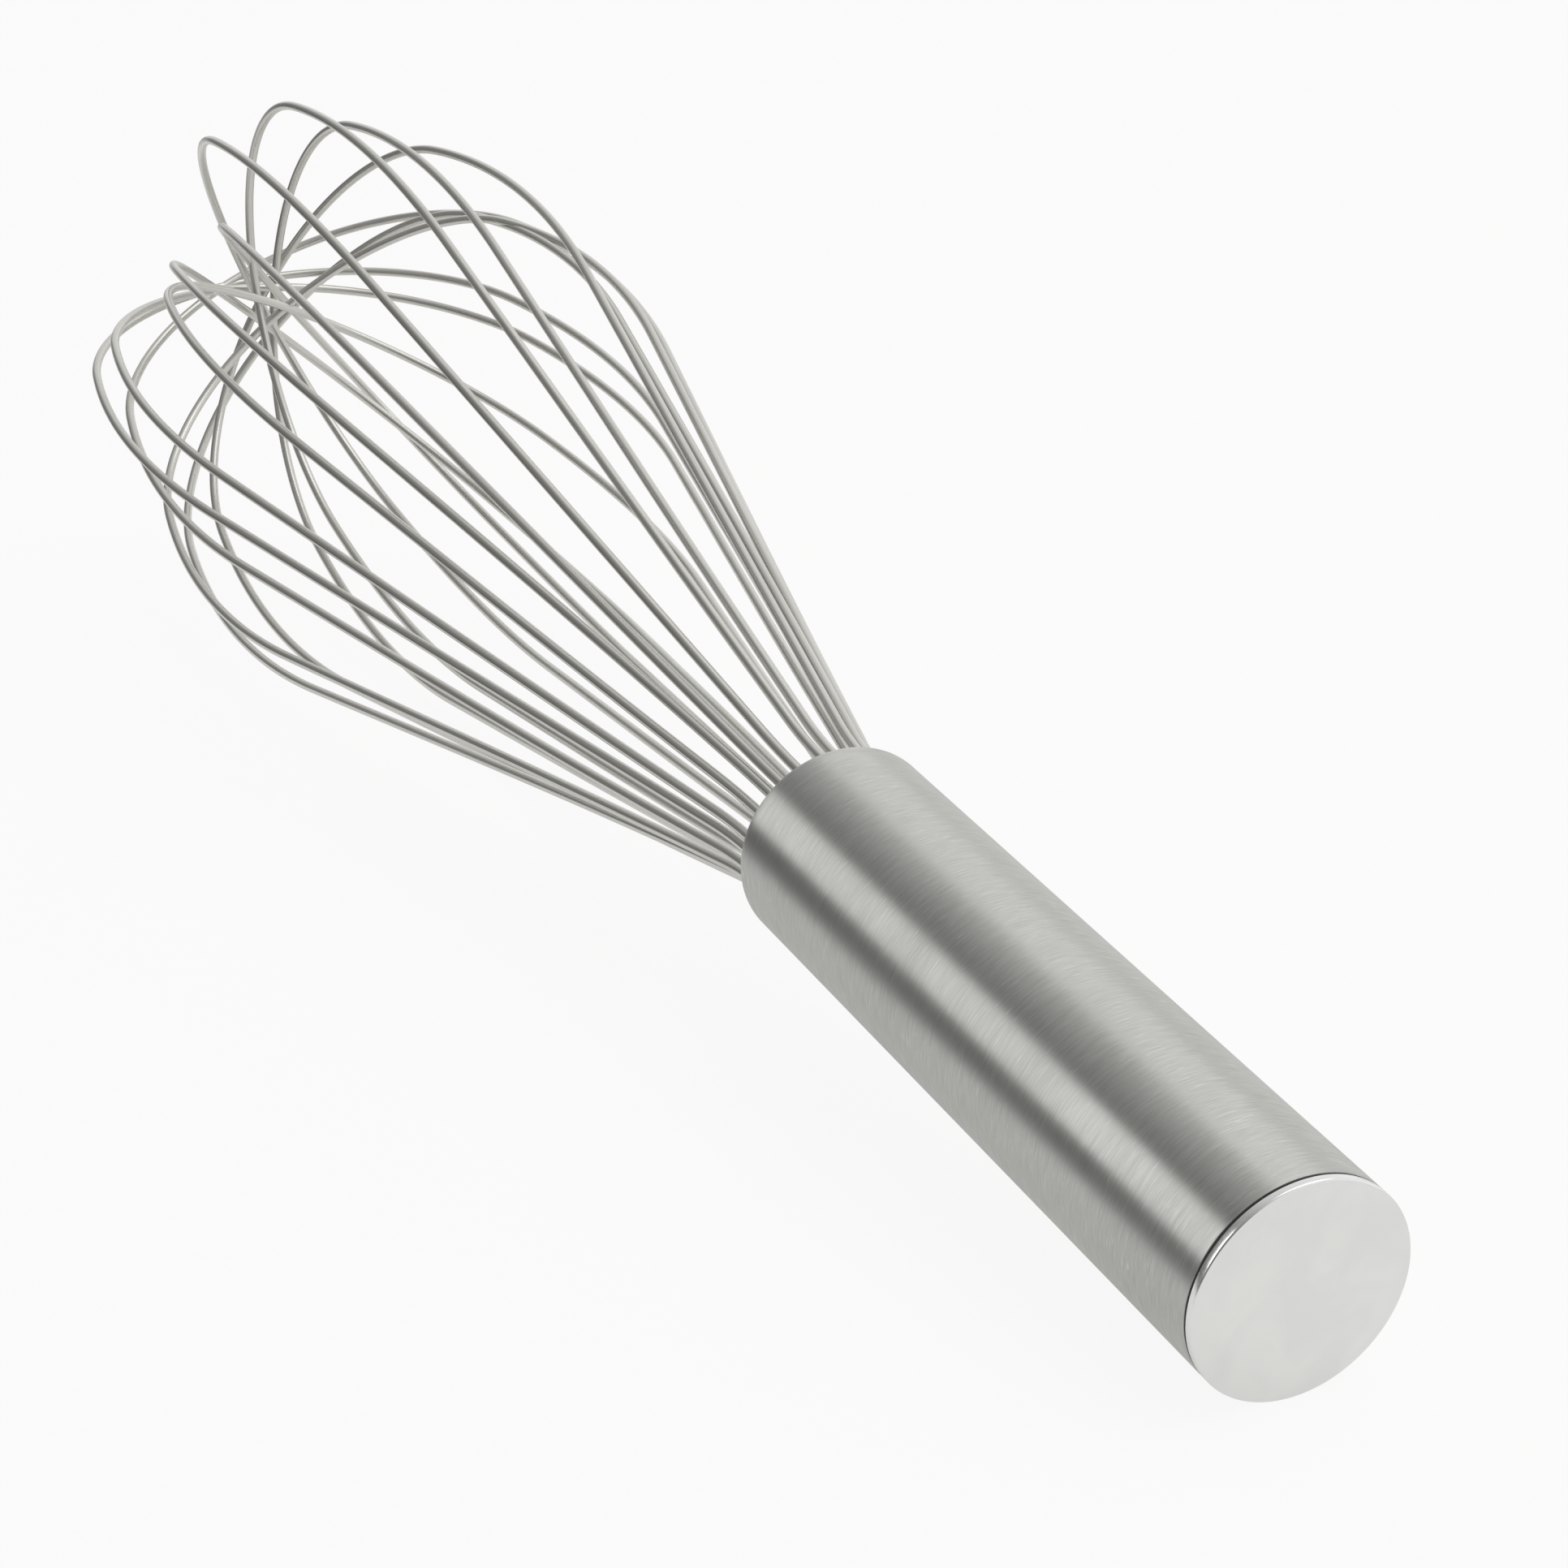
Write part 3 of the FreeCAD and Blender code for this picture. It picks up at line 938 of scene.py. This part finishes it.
@dataclass
class Studio:
    """White table, even light from all round, and the camera.

    The steel shows the room: a pale table painted into shade on the left, shade above it,
    and light that grows towards the right.
    only, because it would draw a hard stripe on each wire.
    """

    screened: Sequence[bpy.types.Object]     # pieces that the screen lights
    screen: Lamp = Lamp("lamp_screen", (0.35, 1.15, 0.64), (0.7, 0.76), 4.9)
    overhead: Lamp = Lamp("lamp_overhead", (-0.2, -0.5, 1.4), (1.2, 1.2), 3.6)
    table_half: float = 2.5
    table_white: float = 0.9
    # grey of the painted shade on the table's left
    table_shade: float = 0.14
    table_wash: float = 0.9      # share of pure white in the table that the camera sees
    table_glow: float = 0.6      # share of its own light in the table that the steel shows
    shade_from: float = 0.068    # metres left of the whisk where the painted shade begins
    shade_to: float = 0.15
    # Brightness of the room by the angle about X in degrees, from the left horizon up.
    room: tuple[tuple[float, float], ...] = (
        (-30, 0.14), (50, 0.25), (60, 0.31), (70, 0.41), (78, 0.50), (90, 0.62),
        (104, 0.72), (128, 0.80), (160, 0.90), (190, 1.0))
    camera_place: tuple[float, float, float] = (-0.50448, 0.22942, 0.23312)
    camera_heading: tuple[float, float, float] = (0.833166, -0.414513, -0.366079)
    lens: float = 89.525
    sensor: float = 36.0

    def build(self) -> None:
        """Build the table, the world, the lamps and the camera."""
        self.make_table()
        self.make_world()
        self.add_lamps()
        self.add_camera()
        bpy.context.scene.view_settings.view_transform = "Standard"

    def make_table(self) -> None:
        """Lay a white table that keeps the object's shadow, with painted shade on its left that
        only the steel shows.
        """
        deselect_all()
        bpy.ops.mesh.primitive_plane_add(size=2 * self.table_half)
        table = bpy.context.object
        table.name = "table"
        material = bpy.data.materials.new("laminate_white")
        material.use_nodes = True
        tree = material.node_tree
        tree.nodes.clear()
        out = add_node(tree, "OutputMaterial")
        path = add_node(tree, "LightPath")
        place = add_node(tree, "TexCoord")
        lit = add_node(tree, "BsdfDiffuse", {"Color": srgb("#f4f4f2")})
        white = add_node(tree, "Emission", {"Color": srgb("#ffffff"), "Strength": 1.0})
        seen = add_node(tree, "MixShader", {0: self.table_wash},
                        {1: lit.outputs[0], 2: white.outputs[0]})
        sides = add_node(tree, "SeparateXYZ", {}, {0: place.outputs["Object"]})
        # painted shade: the table's colour darkens from shade_from to shade_to, and only
        # reflections in the steel see it
        shade = add_node(tree, "MapRange", {
            "interpolation_type": "SMOOTHSTEP", "From Min": self.shade_from,
            "From Max": self.shade_to, "To Min": self.table_white, "To Max": self.table_shade},
            {"Value": sides.outputs["Y"]})
        dim = add_node(tree, "BsdfDiffuse", {}, {"Color": shade.outputs[0]})
        glow = add_node(tree, "Emission", {"Strength": 1.0}, {"Color": shade.outputs[0]})
        mirrored = add_node(tree, "MixShader", {0: self.table_glow},
                            {1: dim.outputs[0], 2: glow.outputs[0]})
        first = add_node(tree, "MixShader", {}, {0: path.outputs["Is Glossy Ray"],
                                                 1: lit.outputs[0], 2: mirrored.outputs[0]})
        second = add_node(tree, "MixShader", {}, {0: path.outputs["Is Camera Ray"],
                                                  1: first.outputs[0], 2: seen.outputs[0]})
        tree.links.new(second.outputs[0], out.inputs["Surface"])
        table.data.materials.append(material)

    def make_world(self) -> None:
        """Light the room by direction, and show white to the camera."""
        world = bpy.data.worlds.new("studio")
        bpy.context.scene.world = world
        world.use_nodes = True
        tree = world.node_tree
        tree.nodes.clear()
        out = add_node(tree, "OutputWorld")
        path = add_node(tree, "LightPath")
        way = add_node(tree, "TexCoord")
        parts = add_node(tree, "SeparateXYZ", {}, {0: way.outputs["Generated"]})
        # Angle about X, from the left horizon over the top to the right horizon.
        turn = add_node(tree, "Math", {"operation": "ARCTAN2"},
                        {0: parts.outputs["Z"], 1: parts.outputs["Y"]})
        spread = add_node(tree, "MapRange", {"From Min": math.radians(self.room[0][0]),
                                             "From Max": math.radians(self.room[-1][0])},
                          {"Value": turn.outputs[0]})
        ramp = add_node(tree, "ValToRGB", {}, {0: spread.outputs[0]})
        low, span = self.room[0][0], self.room[-1][0] - self.room[0][0]
        set_ramp(ramp, [((angle - low) / span, grey) for angle, grey in self.room])
        room = add_node(tree, "Background", {"Strength": 1.0}, {0: ramp.outputs[0]})
        white = add_node(tree, "Background", {0: srgb("#ffffff"), "Strength": 1.0})
        mix = add_node(tree, "MixShader", {}, {0: path.outputs["Is Camera Ray"],
                                               1: room.outputs[0], 2: white.outputs[0]})
        tree.links.new(mix.outputs[0], out.inputs["Surface"])

    def add_lamps(self) -> None:
        """Set a screen on the left that lights only the handle, and a soft lamp overhead."""
        lamp = self.screen.hang()
        lit = bpy.data.collections.new("lit_by_screen")
        for piece in self.screened:
            lit.objects.link(piece)
        lamp.light_linking.receiver_collection = lit
        self.overhead.hang()

    def add_camera(self) -> None:
        """Set the camera behind the end cap, looking along the whisk."""
        deselect_all()
        bpy.ops.object.camera_add(location=self.camera_place)
        camera = bpy.context.object
        camera.rotation_euler = Vector(self.camera_heading).to_track_quat("-Z", "Y").to_euler()
        camera.data.sensor_width = self.sensor
        camera.data.lens = self.lens
        bpy.context.scene.camera = camera


def laid_frame() -> Matrix:
    """Find the matrix that lays the whisk down, from the record's end face.

    Returns:
        Matrix from the place about Z, with the cap's face at the origin, to the table.
    """
    mount = frame["record"]["mounts"][0]
    place = Vector(mount["pos_m"])
    forward = -Vector(mount["axis"]).normalized()
    side = Vector((0, 1, 0))
    under = side.cross(forward).normalized()
    turn = Matrix((under, side, forward)).transposed().to_4x4()
    return Matrix.Translation(place) @ turn


def main() -> None:
    """Build the whisk and its studio round the frame."""
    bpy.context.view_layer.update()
    lay = laid_frame()
    handle = Handle(lay)
    for part in (handle, Balloon(lay)):
        part.build()
    for filling in Filling:
        filling.dress()
    Studio(handle.pieces).build()


if __name__ == "__main__":
    logging.basicConfig(level=logging.INFO, format="%(name)s %(message)s")
    main()
